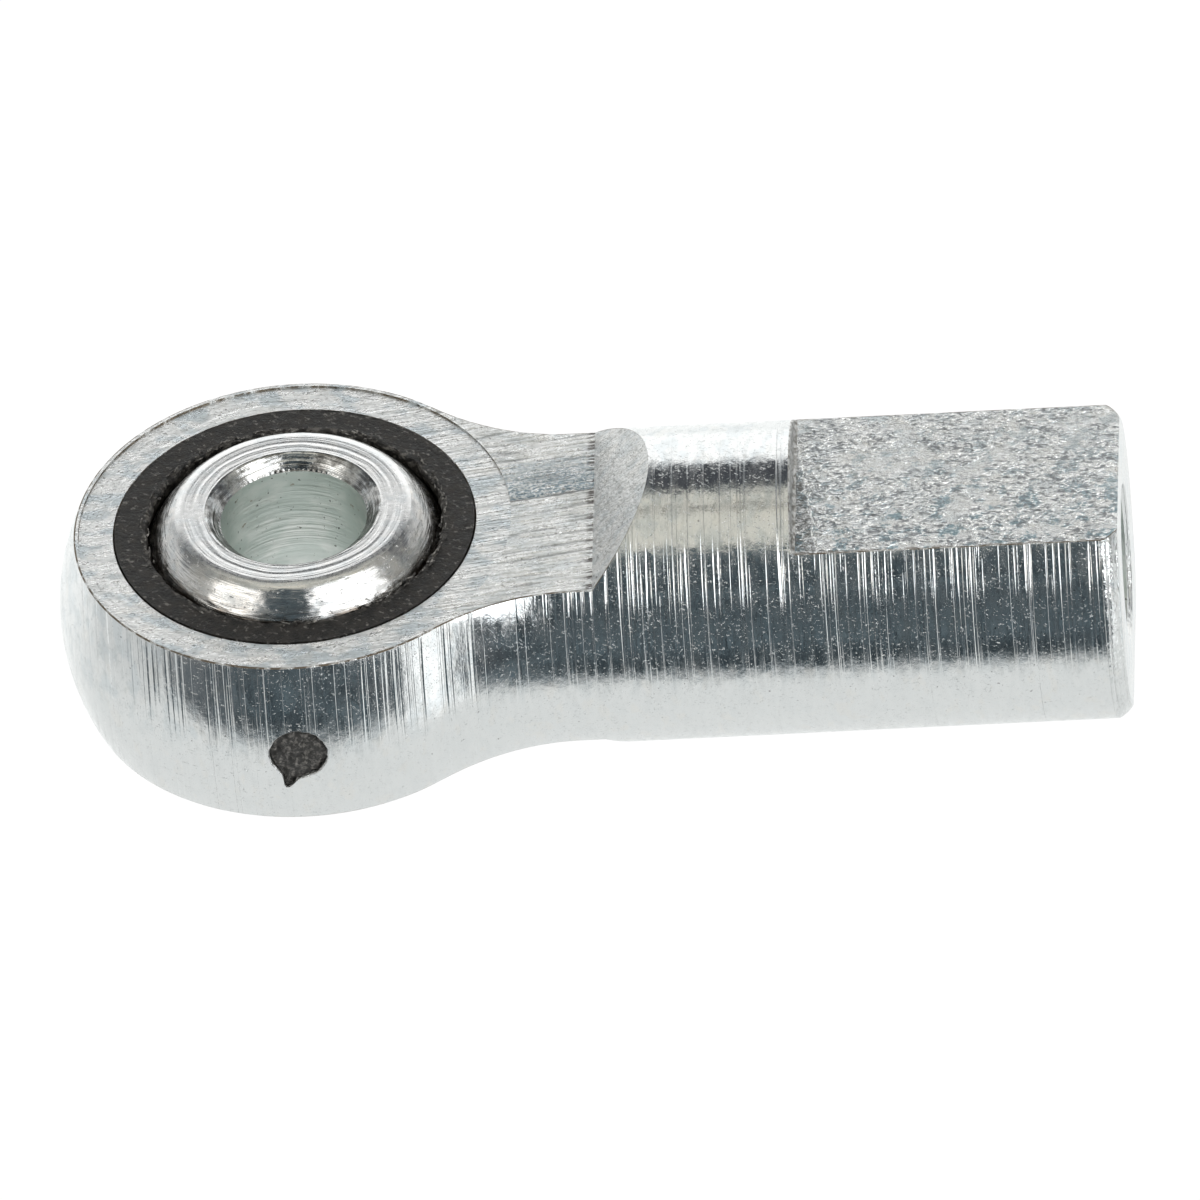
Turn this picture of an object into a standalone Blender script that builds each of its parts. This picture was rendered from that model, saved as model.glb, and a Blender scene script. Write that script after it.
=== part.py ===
"""Female rod end bearing: turned steel body, moulded plastic race, plated steel ball.

Metres, +Z up. The origin is the ball centre, +X runs along the shank to its tapped end and
+Z is the axis of the bore in the ball. Every round piece is turned about one of those axes.
"""

from math import acos, asin, cos, hypot, pi, radians, sin, sqrt, tan

import bmesh
import bpy
from mathutils import Vector

# ball, which takes a 3/16 in bolt
BORE_D = 0.004826
BALL_WIDTH = 0.007925
BORE_CHAMFER = 0.00045
BALL_LAND = 0.00103  # width of the flat ring between the chamfer and the ball's edge

# moulded race
RUNNING_GAP = 0.00005  # between ball and race, on the radius
RACE_RECESS = 0.00051  # depth from the race's face down to the rim of its seat
RACE_FACE = 0.00104  # width of the race's flat ring
RIB_DEPTH = 0.00054  # rib that locks the race in the head
RIB_WIDTH = 0.0026
SEAT_GAP = 0.00003  # between race and body, all round
GATE_D = 0.0019  # hole in the rim through which the race was moulded
GATE_RECESS = 0.00025  # how far the broken sprue lies under the rim

# head and neck of the body
HEAD_THICKNESS = 0.0064
HEAD_FACE = 0.00131  # width of the steel ring around the race
NECK_FILLET = 0.008
FLAT_PAST_NECK = 0.00085  # how far the head's flats run on past the neck fillet
RUNOUT_SLOPE = radians(45)

# shank
SHANK_D = 0.010312
LENGTH = 0.0272  # ball centre to the end of the shank
END_CHAMFER = 0.00038
WRENCH_FLAT_LENGTH = 0.01075
WRENCH_FLATS_ACROSS = 0.00766

# tapped hole, 10-32 UNF
THREAD_D = 0.004826
THREAD_PITCH = 0.0254 / 32
THREAD_DEPTH = 0.0127
DRILL_PAST_THREAD = 0.0018
DRILL_POINT = radians(118)
COUNTERSINK = 0.00016  # how far the mouth's chamfer reaches past the thread
CREST_FLAT = 1 / 8  # flat at a thread's crest, as a share of the pitch
TAP_OVERLAP = THREAD_PITCH / 4  # how far the tap's coil reaches inside the hole, clear of its wall
RUNOUT_DEPTH = THREAD_PITCH / 16  # what is left of the groove where it runs out
THREAD_HEIGHT = 0.5413  # height of a unified thread, as a share of the pitch
FLANK = radians(30)

# facets
SIDES = 48
THREAD_SIDES = 24
ARC_STEP = radians(7.5)

# places that follow from the sizes above
BORE_R = BORE_D / 2
LAND_R = BORE_R + BORE_CHAMFER + BALL_LAND
BALL_R = hypot(LAND_R, BALL_WIDTH / 2)
SEAT_R = BALL_R + RUNNING_GAP
SEAT_Z = HEAD_THICKNESS / 2 - RACE_RECESS
RECESS_R = sqrt(SEAT_R**2 - SEAT_Z**2)
POCKET_R = RECESS_R + RACE_FACE
GROOVE_R = POCKET_R + RIB_DEPTH
HEAD_R = hypot(POCKET_R + HEAD_FACE, HEAD_THICKNESS / 2)
SHANK_R = SHANK_D / 2
FILLET_X = sqrt((HEAD_R + NECK_FILLET) ** 2 - (SHANK_R + NECK_FILLET) ** 2)
FLAT_END_X = FILLET_X + FLAT_PAST_NECK
THREAD_R = THREAD_D / 2
CREST_R = THREAD_R - THREAD_HEIGHT * THREAD_PITCH
OUTSIDE = 2 * HEAD_R  # clear of the body, for cutters


def arc(centre, radius, start, end):
    """Points of an arc in a profile's plane, both ends included."""
    steps = max(2, round(abs(end - start) / ARC_STEP))
    angles = [start + (end - start) * i / steps for i in range(steps + 1)]
    return [(centre[0] + radius * cos(a), centre[1] + radius * sin(a)) for a in angles]


def material(name, colour, roughness, metallic):
    mat = bpy.data.materials.new(name)
    mat.use_nodes = True
    shader = mat.node_tree.nodes["Principled BSDF"]
    shader.inputs["Base Color"].default_value = (*colour, 1.0)
    shader.inputs["Roughness"].default_value = roughness
    shader.inputs["Metallic"].default_value = metallic
    return mat


def finish(bm, name, mat=None):
    """Turn a bmesh into a named object with its faces outward, shaded smooth with sharp edges."""
    bmesh.ops.recalc_face_normals(bm, faces=bm.faces)
    mesh = bpy.data.meshes.new(name)
    bm.to_mesh(mesh)
    bm.free()
    mesh.shade_smooth()
    mesh.set_sharp_from_angle(angle=radians(30))
    obj = bpy.data.objects.new(name, mesh)
    bpy.context.scene.collection.objects.link(obj)
    if mat:
        mesh.materials.append(mat)
    return obj


def turned(name, profile, axis, mat=None, closed=False, sides=SIDES):
    """Turn a profile of (along the axis, radius) points about X or Z.

    A closed profile makes a ring. An open one starts and ends on the axis.
    """
    bm = bmesh.new()
    rings = []
    for along, radius in profile:
        if radius == 0:
            point = (along, 0, 0) if axis == "X" else (0, 0, along)
            rings.append([bm.verts.new(point)])
            continue
        ring = []
        for k in range(sides):
            # half a step on, so that no corner lies in a plane of symmetry
            a = 2 * pi * (k + 0.5) / sides
            u, v = radius * cos(a), radius * sin(a)
            ring.append(bm.verts.new((along, u, v) if axis == "X" else (u, v, along)))
        rings.append(ring)
    pairs = list(zip(rings, rings[1:]))
    if closed:
        pairs.append((rings[-1], rings[0]))
    for a, b in pairs:
        for k in range(sides):
            m = (k + 1) % sides
            corners = [a[k % len(a)], a[m % len(a)], b[m % len(b)], b[k % len(b)]]
            bm.faces.new(list(dict.fromkeys(corners)))
    return finish(bm, name, mat)


def prism(name, outline, half_width):
    """A cutter: an outline of (x, z) points, extruded from -half_width to +half_width along Y."""
    bm = bmesh.new()
    face = bm.faces.new([bm.verts.new((x, -half_width, z)) for x, z in outline])
    side = bmesh.ops.extrude_face_region(bm, geom=[face])
    moved = [v for v in side["geom"] if isinstance(v, bmesh.types.BMVert)]
    bmesh.ops.translate(bm, verts=moved, vec=Vector((0, 2 * half_width, 0)))
    return finish(bm, name)


def cylinder_along_y(name, radius, y_near, y_far, mat=None):
    """A round bar along Y at the ball's height."""
    bm = bmesh.new()
    rings = []
    for y in (y_near, y_far):
        ring = []
        for k in range(THREAD_SIDES):
            a = 2 * pi * (k + 0.5) / THREAD_SIDES
            ring.append(bm.verts.new((radius * cos(a), y, radius * sin(a))))
        rings.append(ring)
    for k in range(THREAD_SIDES):
        m = (k + 1) % THREAD_SIDES
        bm.faces.new([rings[0][k], rings[0][m], rings[1][m], rings[1][k]])
    bm.faces.new(rings[0])
    bm.faces.new(rings[1])
    return finish(bm, name, mat)


def thread_coil(name):
    """The groove that the tap cuts: a right-hand coil that starts outside and runs out at depth."""
    inner_r = CREST_R - TAP_OVERLAP
    start = LENGTH + THREAD_PITCH
    turns = (THREAD_DEPTH + THREAD_PITCH) / THREAD_PITCH
    steps = round(turns * THREAD_SIDES)
    runout = THREAD_SIDES // 2
    bm = bmesh.new()
    sections = []
    for k in range(steps + 1):
        fade = min(1, (steps - k) / runout)
        outer_r = inner_r + (THREAD_R - inner_r) * fade + (1 - fade) * RUNOUT_DEPTH
        flat = THREAD_PITCH * CREST_FLAT / 2
        base = flat + (outer_r - inner_r) * tan(FLANK)
        a = -2 * pi * (k + 0.5) / THREAD_SIDES
        x = start - THREAD_PITCH * k / THREAD_SIDES
        corners = [(x - base, inner_r), (x - flat, outer_r), (x + flat, outer_r), (x + base, inner_r)]
        sections.append([bm.verts.new((cx, r * cos(a), r * sin(a))) for cx, r in corners])
    for a, b in zip(sections, sections[1:]):
        for k in range(4):
            m = (k + 1) % 4
            bm.faces.new([a[k], a[m], b[m], b[k]])
    bm.faces.new(sections[0])
    bm.faces.new(sections[-1])
    return finish(bm, name)


def cut(target, tool, operation="DIFFERENCE"):
    """Cut a target with a hidden tool, or join the tool to it."""
    tool.hide_render = True
    tool.display_type = "WIRE"
    boolean = target.modifiers.new(tool.name, "BOOLEAN")
    boolean.operation = operation
    boolean.solver = "EXACT"
    boolean.object = tool


def make_ball(mat):
    """A sphere with two flat faces and a chamfered bore."""
    half = BALL_WIDTH / 2
    tilt = asin(half / BALL_R)
    profile = arc((0, 0), BALL_R, pi / 2 - tilt, pi / 2 + tilt)
    profile += [
        (-half, BORE_R + BORE_CHAMFER),
        (-half + BORE_CHAMFER, BORE_R),
        (half - BORE_CHAMFER, BORE_R),
        (half, BORE_R + BORE_CHAMFER),
    ]
    return turned("ball", profile, "Z", mat, closed=True)


def make_race(mat):
    """The moulding that holds the ball, with its locking rib and the sprue in the gate hole."""
    half = HEAD_THICKNESS / 2
    rib = RIB_WIDTH / 2 - SEAT_GAP
    outer, rib_r = POCKET_R - SEAT_GAP, GROOVE_R - SEAT_GAP
    tilt = asin(SEAT_Z / SEAT_R)
    profile = arc((0, 0), SEAT_R, pi / 2 - tilt, pi / 2 + tilt)
    profile += [
        (-half, RECESS_R),
        (-half, outer),
        (-rib, outer),
        (-rib, rib_r),
        (rib, rib_r),
        (rib, outer),
        (half, outer),
        (half, RECESS_R),
    ]
    race = turned("race", profile, "Z", mat, closed=True)
    sprue_start = (SEAT_R + rib_r) / 2
    sprue_end = HEAD_R - GATE_RECESS
    sprue = cylinder_along_y("sprue_guide", GATE_D / 2 - SEAT_GAP, -sprue_start, -sprue_end, mat)
    cut(race, sprue, "UNION")
    return race


def make_body(mat):
    """Head, neck and shank turned about X, milled flat, bored for the race and tapped."""
    join = acos(FILLET_X / (HEAD_R + NECK_FILLET))
    profile = [(-HEAD_R, 0)] + arc((0, 0), HEAD_R, pi - ARC_STEP, join)
    profile += arc((FILLET_X, SHANK_R + NECK_FILLET), NECK_FILLET, pi + join, 1.5 * pi)[1:]
    profile += [
        (LENGTH - END_CHAMFER, SHANK_R),
        (LENGTH, SHANK_R - END_CHAMFER),
        (LENGTH, 0),
    ]
    body = turned("body", profile, "X", mat)

    half = HEAD_THICKNESS / 2
    rise = OUTSIDE - half
    for side, name in ((1, "upper"), (-1, "lower")):
        outline = [
            (-OUTSIDE, side * half),
            (FLAT_END_X, side * half),
            (FLAT_END_X + rise / tan(RUNOUT_SLOPE), side * OUTSIDE),
            (-OUTSIDE, side * OUTSIDE),
        ]
        cut(body, prism(f"{name}_head_flat", outline, OUTSIDE))
        low, start, end = side * WRENCH_FLATS_ACROSS / 2, LENGTH - WRENCH_FLAT_LENGTH, LENGTH + OUTSIDE
        outline = [(start, low), (end, low), (end, side * OUTSIDE), (start, side * OUTSIDE)]
        cut(body, prism(f"{name}_wrench_flat", outline, OUTSIDE))

    groove = RIB_WIDTH / 2
    pocket = [
        (-OUTSIDE, 0),
        (-OUTSIDE, POCKET_R),
        (-groove, POCKET_R),
        (-groove, GROOVE_R),
        (groove, GROOVE_R),
        (groove, POCKET_R),
        (OUTSIDE, POCKET_R),
        (OUTSIDE, 0),
    ]
    cut(body, turned("race_pocket", pocket, "Z"))
    cut(body, cylinder_along_y("gate_hole", GATE_D / 2, -POCKET_R, -OUTSIDE))

    bottom = LENGTH - THREAD_DEPTH - DRILL_PAST_THREAD
    mouth_r = THREAD_R + COUNTERSINK
    past_end = LENGTH + END_CHAMFER
    drill = [
        (bottom - CREST_R / tan(DRILL_POINT / 2), 0),
        (bottom, CREST_R),
        (LENGTH - (mouth_r - CREST_R), CREST_R),
        (past_end, mouth_r + END_CHAMFER),
        (past_end, 0),
    ]
    cut(body, turned("tapping_drill", drill, "X", sides=THREAD_SIDES))
    cut(body, thread_coil("tap"))
    return body


def main():
    for obj in list(bpy.data.objects):
        bpy.data.objects.remove(obj, do_unlink=True)
    body_zinc = material("bright zinc plate, machined", (0.68, 0.70, 0.71), 0.30, 1.0)
    ball_zinc = material("bright zinc plate, polished", (0.74, 0.73, 0.71), 0.16, 1.0)
    plastic = material("black moulded plastic", (0.028, 0.026, 0.025), 0.55, 0.0)
    make_ball(ball_zinc)
    make_race(plastic)
    make_body(body_zinc)


main()
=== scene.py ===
"""Rod end bearing: zinc-plated steel body, black moulded race and polished ball.

Metres, in the CAD frame: the ball's centre is the origin, +X runs along the shank and +Z is the
axis of the ball's bore.
"""

from math import acos, asin, atan2, cos, exp, hypot, pi, radians, sin, sqrt

import bmesh
import bpy
from mathutils import Matrix, Vector, noise


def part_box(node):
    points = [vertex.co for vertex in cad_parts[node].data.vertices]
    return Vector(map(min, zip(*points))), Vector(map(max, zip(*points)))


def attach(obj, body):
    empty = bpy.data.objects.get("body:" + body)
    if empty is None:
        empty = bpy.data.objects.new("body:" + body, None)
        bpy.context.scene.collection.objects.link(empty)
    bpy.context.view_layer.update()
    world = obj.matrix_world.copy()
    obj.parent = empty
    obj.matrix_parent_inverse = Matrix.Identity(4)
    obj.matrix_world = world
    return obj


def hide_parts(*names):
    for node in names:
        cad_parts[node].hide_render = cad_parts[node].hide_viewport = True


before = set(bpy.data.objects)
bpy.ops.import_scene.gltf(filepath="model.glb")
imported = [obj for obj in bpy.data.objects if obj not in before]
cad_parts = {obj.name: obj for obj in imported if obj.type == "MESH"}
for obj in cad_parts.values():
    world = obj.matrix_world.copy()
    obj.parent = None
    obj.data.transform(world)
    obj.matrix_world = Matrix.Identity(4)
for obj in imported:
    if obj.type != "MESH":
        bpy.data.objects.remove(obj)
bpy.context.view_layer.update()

MM = 0.001

# sizes shared with the CAD model
HEAD_R = 7.943 * MM
HEAD_FLAT = 3.2 * MM  # half the head's thickness
POCKET_R = 5.957 * MM
GROOVE_R = 6.497 * MM
GROOVE_HALF = 1.3 * MM
RECESS_R = 4.917 * MM
SEAT_R = 5.606 * MM
SEAT_Z = 2.69 * MM
SHANK_R = 5.156 * MM
NECK_FILLET = 8.0 * MM
SHANK_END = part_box("body")[1][0]
END_CHAMFER = 0.38 * MM
WRENCH_START = SHANK_END - 10.75 * MM
WRENCH_FLAT = 3.83 * MM
THREAD_R = 2.413 * MM
THREAD_PITCH = 25.4 / 32 * MM
THREAD_DEPTH = 12.7 * MM
GATE_R = 0.95 * MM
BORE_R = 2.413 * MM
BORE_CHAMFER = 0.45 * MM
BALL_HALF = 3.9625 * MM
LAND_R = 3.893 * MM
BALL_R = hypot(LAND_R, BALL_HALF)

# finishing details
EDGE = 0.06 * MM  # broken edges of the body
FACED_R = 7.14 * MM
FACED_DEPTH = 0.05 * MM
WALL_FILLET = 0.12 * MM
MILL_TURN = radians(9.5)  # the cutter's path over the head, from +X towards +Y

FILLET_X = sqrt((HEAD_R + NECK_FILLET) ** 2 - (SHANK_R + NECK_FILLET) ** 2)
FLAT_END = FILLET_X + 0.85 * MM
RUNOUT_TOP = FLAT_END + (SHANK_R - HEAD_FLAT)
JOIN_X = FILLET_X * HEAD_R / (HEAD_R + NECK_FILLET)
WRENCH_HALF = sqrt(SHANK_R**2 - WRENCH_FLAT**2)


# ---- node helpers
class Current:
    """The node tree that the helpers below add to."""

    tree = None


def add(kind, values=None, **settings):
    """Add a node, set it up and wire its inputs; a socket is linked and anything else is a value."""
    node = Current.tree.nodes.new(kind)
    for key, value in settings.items():
        setattr(node, key, value)
    for key, value in (values or {}).items():
        socket = node.inputs[key]
        if isinstance(value, bpy.types.NodeSocket):
            Current.tree.links.new(value, socket)
        elif socket.type == "RGBA":
            socket.default_value = (*value, 1)
        else:
            socket.default_value = value
    return node


def out(kind, values=None, **settings):
    """Add a node and give its first output."""
    return add(kind, values, **settings).outputs[0]


def calc(operation, a, b=0.0, c=0.0):
    return out("ShaderNodeMath", {0: a, 1: b, 2: c}, operation=operation)


def times(*factors):
    result = factors[0]
    for factor in factors[1:]:
        result = calc("MULTIPLY", result, factor)
    return result


def total(*shares):
    """Sum of (socket, weight) pairs."""
    result = times(*shares[0])
    for socket, weight in shares[1:]:
        result = calc("MULTIPLY_ADD", socket, weight, result)
    return result


def radius_of(u, v):
    return calc("SQRT", total((times(u, u), 1.0), (times(v, v), 1.0)))


def ramp(value, low, high, to_low=0.0, to_high=1.0):
    """Map low..high smoothly to to_low..to_high, held at the ends."""
    values = {"Value": value, "From Min": low, "From Max": high, "To Min": to_low, "To Max": to_high}
    return out("ShaderNodeMapRange", values, interpolation_type="SMOOTHSTEP")


def window(value, low, high, soft):
    """One between low and high, nought outside."""
    return times(ramp(value, low - soft, low + soft), ramp(value, high - soft, high + soft, 1, 0))


def blend(factor, a, b):
    """Colour a where factor is nought and b where it is one."""
    return add("ShaderNodeMix", {0: factor, 6: a, 7: b}, data_type="RGBA").outputs[2]


def turned_coords(turn=0.0):
    """Object coordinates, turned about Z."""
    coords = add("ShaderNodeTexCoord").outputs["Object"]
    if turn:
        coords = out("ShaderNodeMapping", {"Vector": coords, "Rotation": (0, 0, turn)})
    return coords


def axes(turn=0.0):
    return add("ShaderNodeSeparateXYZ", {0: turned_coords(turn)}).outputs


def noise_at(vector, scale=1.0, detail=2.0, rough=0.5, distortion=0.0):
    values = {"Vector": vector, "Scale": scale, "Detail": detail, "Roughness": rough}
    return out("ShaderNodeTexNoise", values | {"Distortion": distortion})


def cloud(size, detail=2.0, rough=0.5, distortion=0.0, turn=0.0, shift=(0, 0, 0)):
    """Noise with cells of a size in millimetres: one for all, or three along X, Y and Z."""
    sizes = size if isinstance(size, tuple) else (size, size, size)
    scale = tuple(1 / (s * MM) for s in sizes)
    values = {"Vector": turned_coords(turn), "Scale": scale, "Location": shift}
    return noise_at(out("ShaderNodeMapping", values), 1.0, detail, rough, distortion)


def new_material(name, metallic, rough, specular=0.5):
    """Open a material for the helpers above; coat() ends it."""
    mat = bpy.data.materials.new(name)
    mat.use_nodes = True
    Current.tree = mat.node_tree
    inputs = Current.tree.nodes["Principled BSDF"].inputs
    for key, value in (("Metallic", metallic), ("Roughness", rough), ("Specular IOR Level", specular)):
        inputs[key].default_value = value
    return mat


def coat(mat, colour, height, depth, rough=None):
    """Give a material its colour, its fine relief and, where it varies, its roughness."""
    normal = out("ShaderNodeBump", {"Height": height, "Distance": depth, "Strength": 1.0})
    for key, socket in (("Base Color", colour), ("Normal", normal), ("Roughness", rough)):
        if socket:
            Current.tree.links.new(socket, mat.node_tree.nodes["Principled BSDF"].inputs[key])
    return mat


# ---- materials
ZINC = (0.74, 0.75, 0.75)
ZINC_BLUE = (0.50, 0.57, 0.61)
ZINC_WARM = (0.78, 0.74, 0.68)
ZINC_WORN = (0.52, 0.55, 0.55)
SOOT = (0.13, 0.12, 0.115)
# brown of oil stains, also the colour of the painted shade along the run-out's lip
OIL_AND_SHADE = (0.20, 0.165, 0.125)


def zinc_tint(patch=1.1, cool=0.4, warm=0.3, specks=0.68, base=ZINC, amount=1.0):
    """Bright zinc with bluish and warm patches and a scatter of dark pits."""
    cool_part = times(ramp(cloud(patch, 3), 0.46, 0.62, 0, cool), amount)
    warm_part = ramp(cloud(patch, 2, shift=(7, 3, 5)), 0.55, 0.7, 0, warm)
    colour = blend(cool_part, base, ZINC_BLUE)
    colour = blend(warm_part, colour, ZINC_WARM)
    pits = cloud(0.11, 3, 0.6)
    return blend(ramp(pits, specks, specks + 0.05, 0, 0.85), colour, SOOT)


def turned_zinc(name, depth, groups=(0.36, 0.60), dents=1.0):
    """Bar turned about X: feed marks ring it, in groups of deep ones, with fine dimples between."""
    mat = new_material(name, 1.0, 0.2)
    # tint and worn patches are full on the upper side and fade towards the underside
    upper_share = ramp(axes()[2], -0.6 * MM, 0.8 * MM, 0.15, 1)
    colour = zinc_tint((0.5, 0.9, 0.9), 0.3, 0.2, 0.685, amount=upper_share)
    worn = cloud((0.22, 0.45, 0.45), 5, 0.7, shift=(2, 9, 4))
    worn = times(ramp(worn, 0.47, 0.66, 0, 0.4), upper_share)
    colour = blend(worn, colour, ZINC_WORN)
    fine = cloud((0.06, 22, 22), 2, 0.6)
    bands = ramp(cloud((1.3, 30, 30), 2, shift=(5, 0, 0)), *groups)
    deep = ramp(cloud((0.18, 22, 22), 1, 0.55, shift=(3, 0, 0)), 0.54, 0.65)
    thin = ramp(cloud((0.10, 18, 18), 1, shift=(6, 2, 0)), 0.60, 0.68)
    cuts = ramp(cloud((0.40, 30, 30), 1, shift=(1, 4, 0)), 0.60, 0.68)
    spread = ramp(cloud(0.8, 3, shift=(9, 2, 0)), 0.44, 0.62, 0.15, 1)
    dimples = ramp(cloud(0.085, 3, 0.6), 0.62, 0.74)
    slow = cloud((0.45, 0.6, 0.6), 4, 0.6, shift=(4, 8, 1))
    scratch = ramp(cloud((0.28, 0.06, 0.06), 2, 0.6, 0.5, turn=0.5, shift=(4, 4, 4)), 0.66, 0.73)
    height = total((fine, 0.08), (times(deep, bands), -1.0), (cuts, -0.8), (thin, -0.35))
    pocks = times(dimples, spread)
    height = total((height, 1.0), (pocks, -0.5 * dents), (scratch, -0.5), (slow, dents))
    dull = cloud((0.25, 0.9, 0.9), 3, 0.6, shift=(8, 1, 1))
    return coat(mat, colour, height, depth, ramp(dull, 0.35, 0.65, 0.11, 0.24))


# the last argument sets how strongly the neck's upper cutter pass is painted darker and bluish, a painted
# reflection; nought on the head
def milled_zinc(name, depth, row, dark, cool=0.3, pass_reflection_amount=0.0):
    """Milled flats, their rows lying a little across the shank; row is half their spacing in mm."""
    mat = new_material(name, 1.0, 0.3)
    colour = zinc_tint((1.1, 0.7, 1), cool, 0.25, 0.65, (0.84, 0.845, 0.84))
    streak = cloud((2.0, row, 1), 1, 0.5, 0.1, turn=-MILL_TURN)
    if not pass_reflection_amount:
        # the facing cut left rings round the head's far end and the rows beneath show through by the neck
        neck_end = ramp(axes()[0], -1.0 * MM, 5.0 * MM)
        rings = ring_height(0.19, 2.0)
        streak = out("ShaderNodeMix", {0: neck_end, 2: rings, 3: streak})
    torn = cloud((0.15, 0.085, 0.2), 3, 0.6, 0.6, turn=-MILL_TURN)
    dull = cloud((0.8, 0.30, 1), 4, 0.6, turn=-MILL_TURN, shift=(4, 4, 0))
    colour = blend(ramp(dull, 0.50, 0.66, 0, 0.35), colour, ZINC_WORN)
    broken = total((streak, 0.8), (torn, 0.2))
    lines = times(ramp(broken, 0.45, 0.38), ramp(dull, 0.34, 0.50, 0.35, 1))
    colour = blend(times(lines, dark), colour, (0.26, 0.27, 0.275))
    specks = ramp(torn, 0.62, 0.69, 0, 0.7)
    colour = blend(specks, colour, SOOT)
    if pass_reflection_amount:
        along, across, _ = axes(-MILL_TURN)
        ragged = total((across, 1.0), (cloud((0.4, 0.2, 1), 2), 0.25 * MM))
        reach = ramp(along, JOIN_X + 1.9 * MM, JOIN_X + 2.1 * MM)
        # painted reflection: the upper cutter pass on the neck flats is painted darker and bluish
        painted_pass_reflection = times(window(ragged, -0.33 * MM, 1.5 * MM, 0.05 * MM), reach, pass_reflection_amount)
        near_edge = ramp(ragged, 1.5 * MM, -0.2 * MM, 0.45, 1)
        painted_pass_reflection = times(painted_pass_reflection, near_edge, ramp(torn, 0.58, 0.44, 0.1, 1))
        colour = blend(painted_pass_reflection, colour, (0.22, 0.29, 0.335))
        # painted shade: a dark line along the deep groove between the two passes
        groove_shade = times(window(ragged, -0.40 * MM, -0.32 * MM, 0.02 * MM), reach)
        colour = blend(times(groove_shade, 0.75), colour, (0.20, 0.20, 0.20))
        # the rows are darkened near the foot of the run-out
        foot = ramp(axes()[0], FLAT_END - 0.34 * MM, FLAT_END - 0.08 * MM)
        dark_patch = times(foot, ramp(broken, 0.50, 0.42, 0, 0.9))
        colour = blend(dark_patch, colour, SOOT)
    height = total((streak, 1.0), (torn, 0.5 if pass_reflection_amount else 0.9))
    return coat(mat, colour, height, depth, ramp(dull, 0.3, 0.7, 0.22, 0.36))


def grained_zinc():
    """The cutter's run-out: an even grain with dark specks."""
    mat = new_material("grained zinc plate", 1.0, 0.36)
    colour = zinc_tint((0.7, 0.5, 0.7), 0.3, 0.2, 0.62, (0.86, 0.865, 0.86))
    grain = cloud((0.14, 0.11, 0.14), 3, 0.65)
    swell = cloud((0.42, 0.30, 0.42), 3, 0.6)
    dark_patch = cloud((0.34, 0.26, 0.34), 4, 0.7, shift=(2, 2, 7))
    colour = blend(ramp(dark_patch, 0.50, 0.66, 0, 0.5), colour, (0.42, 0.42, 0.40))
    height = total((grain, 1.0), (swell, 1.3))
    return coat(mat, colour, height, 0.08 * MM)


def chattered_zinc():
    """The wrench flats: short wavy ridges with painted highlights on their crests and painted shade in
    their hollows, torn and dirty by the wall with painted shade at its foot, and stained along the edges.
    """
    mat = new_material("chattered zinc plate", 1.0, 0.28)
    colour = zinc_tint((1.2, 0.8, 1), 0.25, 0.25, 0.66)
    ridges = cloud((0.32, 0.155, 0.5), 2, 0.5, 1.3)
    teeth = cloud((0.15, 0.10, 0.2), 3, 0.6, 0.4, shift=(3, 1, 0))
    calm = ramp(cloud((1.3, 1.2, 1.5), 2, shift=(2, 6, 0)), 0.38, 0.50, 0.2, 1)
    blots = cloud((0.75, 0.6, 0.5), 5, 0.7, shift=(6, 0, 2))
    near = ramp(axes()[1], 2.5 * MM, -2.5 * MM, 0.35, 1)
    blots = times(ramp(blots, 0.51, 0.60, 0, 0.95), near)
    colour = blend(blots, colour, (0.24, 0.34, 0.38))
    # painted shade: the hollows between the ridges are darkened
    hollow_shade = ramp(total((ridges, 0.75), (teeth, 0.25)), 0.40, 0.48, 0.85, 0)
    hollow_shade = times(hollow_shade, calm)
    colour = blend(hollow_shade, colour, (0.22, 0.235, 0.25))
    along, across, _ = axes()
    wave = cloud(0.4, 3, 0.6, shift=(1, 1, 1))
    place_x = total((along, 1.0), (wave, 0.5 * MM))
    place_x = total((place_x, 1.0), (across, 0.12))
    wall = ramp(place_x, WRENCH_START + 0.55 * MM, WRENCH_START + 0.68 * MM, 1, 0)
    # painted shade along the foot of the wall, over the torn strip
    dirt_and_shade = times(wall, ramp(teeth, 0.40, 0.54, 1, 0))
    colour = blend(times(dirt_and_shade, 0.8), colour, (0.20, 0.195, 0.18))
    # painted highlight: the ridge crests and the cutter's line are painted near white
    crest = ramp(total((ridges, 0.6), (teeth, 0.4)), 0.53, 0.59, 0, 1)
    line = window(place_x, WRENCH_START + 0.65 * MM, WRENCH_START + 0.72 * MM, 0.03 * MM)
    crest = calc("MAXIMUM", times(crest, calm), times(line, 0.8))
    colour = blend(crest, colour, (0.96, 0.965, 0.96))
    rim = ramp(across, 0.14 * MM - WRENCH_HALF, 0.06 * MM - WRENCH_HALF)
    rim = times(rim, ramp(wave, 0.42, 0.55), 0.6)
    colour = blend(rim, colour, OIL_AND_SHADE)
    height = total((times(ridges, calm), 1.1), (teeth, 0.36), (times(wall, teeth), 1.0))
    return coat(mat, colour, height, 0.22 * MM, ramp(ridges, 0.35, 0.65, 0.27, 0.14))


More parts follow.
